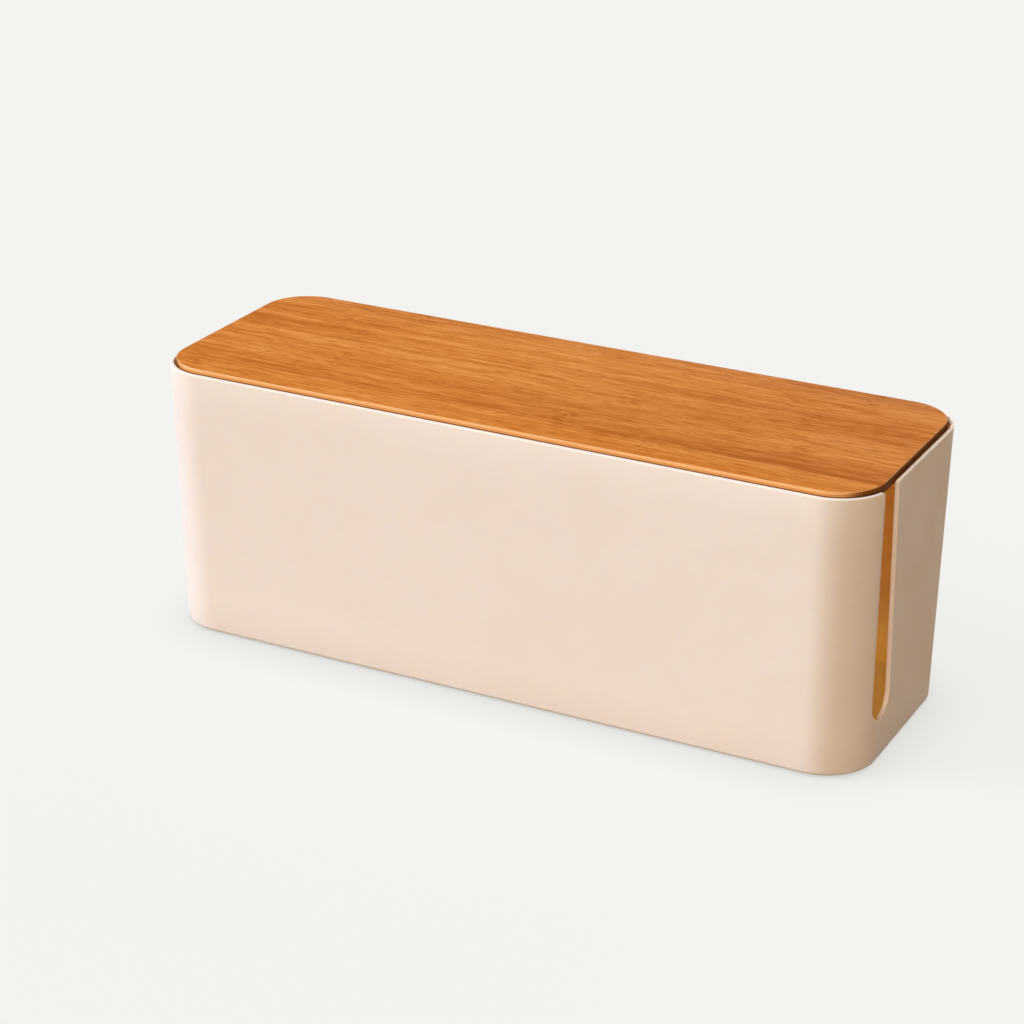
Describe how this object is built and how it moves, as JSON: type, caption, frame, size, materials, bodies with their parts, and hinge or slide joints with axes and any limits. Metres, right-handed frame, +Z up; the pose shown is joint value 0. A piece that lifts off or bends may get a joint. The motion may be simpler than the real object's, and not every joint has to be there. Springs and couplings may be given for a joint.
{
  "type": "cable management box",
  "caption": "Long moulded box with rounded corners that hides a power strip and its leads, with a cable slot in each end wall and a loose laminated bamboo lid that lifts off.",
  "frame": {"origin": "under the middle of the box, on the surface that its feet stand on", "axes": "+X along the box towards the end seen in the picture, -Y out of the long front wall, +Z up"},
  "size_m": [0.4, 0.139, 0.1517],
  "materials": {
    "tub": "warm cream moulded plastic, fine matt texture",
    "foot_rubber": "dark soft rubber",
    "bamboo_face": "carbonised bamboo, lengthwise grain, satin oil",
    "bamboo_core": "plain bamboo, pale long edges and dark cut ends",
    "bamboo_back": "plain bamboo, lengthwise grain, bare"
  },
  "bodies": {
    "tub": {"tub_shell": "tub", "foot_front_left": "foot_rubber", "foot_front_right": "foot_rubber", "foot_back_left": "foot_rubber", "foot_back_right": "foot_rubber"},
    "lid": {"face_strip_1": "bamboo_face", "face_strip_2": "bamboo_face", "face_strip_3": "bamboo_face", "face_strip_4": "bamboo_face", "face_strip_5": "bamboo_face", "face_strip_6": "bamboo_face", "face_strip_7": "bamboo_face", "core_ply": "bamboo_core", "back_strip_1": "bamboo_back", "back_strip_2": "bamboo_back", "back_strip_3": "bamboo_back", "back_strip_4": "bamboo_back", "back_strip_5": "bamboo_back", "back_strip_6": "bamboo_back", "back_strip_7": "bamboo_back"}
  },
  "joints": [
    {"name": "lid_lift", "type": "slide", "parent": "tub", "child": "lid", "axis": [0, 0, 1], "range_m": [0, 0.18]}
  ]
}
